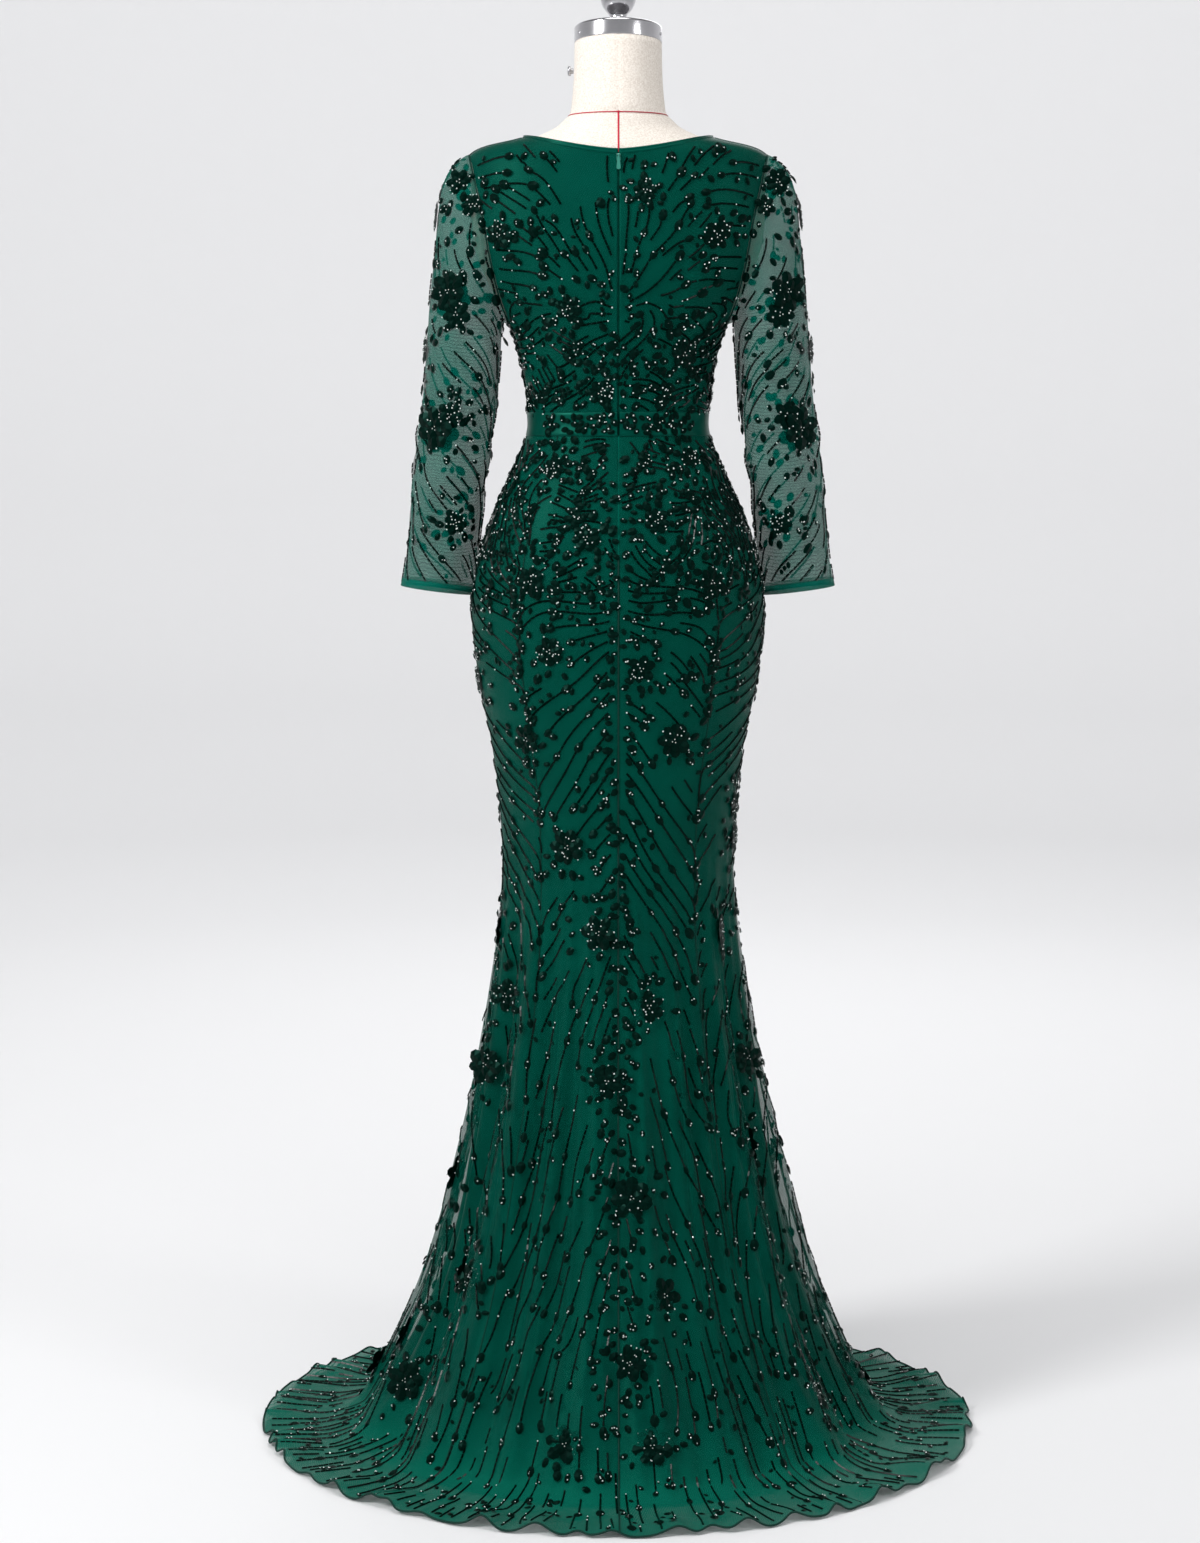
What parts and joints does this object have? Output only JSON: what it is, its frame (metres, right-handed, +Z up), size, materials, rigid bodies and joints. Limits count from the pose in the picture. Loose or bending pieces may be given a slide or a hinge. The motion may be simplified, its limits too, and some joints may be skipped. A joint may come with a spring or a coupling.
{
  "type": "evening gown on a limbless dress form",
  "caption": "Long-sleeved trumpet evening gown of beaded dark green tulle over satin, with a lettuce hem, on a limbless linen dress form with a cap, knob, pole and round base.",
  "frame": {"origin": "on the floor, on the axis of the form's pole, at the middle of the base's underside", "axes": "+Z up; the gown's front faces -Y, its back +Y, and the wearer's left is +X"},
  "size_m": [0.912, 0.857, 1.8203],
  "materials": {
    "beaded_tulle": "embroidered tulle over satin, with sequins and small beads",
    "sheer_tulle": "embroidered tulle with no backing",
    "green_satin": "plain satin",
    "zip_metal": "glossy lacquer",
    "linen_cover": "tight plain-weave linen",
    "chrome_metal": "polished",
    "stand_metal": "satin"
  },
  "bodies": {
    "gown_on_form": {"bodice_front": "beaded_tulle", "bodice_back_left": "beaded_tulle", "bodice_back_right": "beaded_tulle", "neck_binding_front": "green_satin", "neck_binding_back_left": "green_satin", "neck_binding_back_right": "green_satin", "waistband_back_left": "green_satin", "waistband_front": "green_satin", "waistband_back_right": "green_satin", "skirt_centre_back_left": "beaded_tulle", "skirt_side_back_left": "beaded_tulle", "skirt_front": "beaded_tulle", "skirt_side_back_right": "beaded_tulle", "skirt_centre_back_right": "beaded_tulle", "skirt_lining_back": "green_satin", "skirt_lining_front": "green_satin", "sleeve_left": "sheer_tulle", "sleeve_right": "sheer_tulle", "sleeve_hem_left": "sheer_tulle", "sleeve_hem_right": "sheer_tulle", "zip_tape": "green_satin", "zip_slider": "zip_metal", "form_torso": "linen_cover", "form_neck_cap": "chrome_metal", "form_finial": "chrome_metal", "form_neck_button": "chrome_metal", "form_pole": "stand_metal", "form_base": "stand_metal"},
    "zip_pull": {"zip_pull": "zip_metal"}
  },
  "joints": [
    {"name": "zip_pull_swing", "type": "hinge", "parent": "gown_on_form", "child": "zip_pull", "pos_m": [0, 0.08869, 1.601], "axis": [1, 0, 0], "range_deg": [0, 150]}
  ]
}
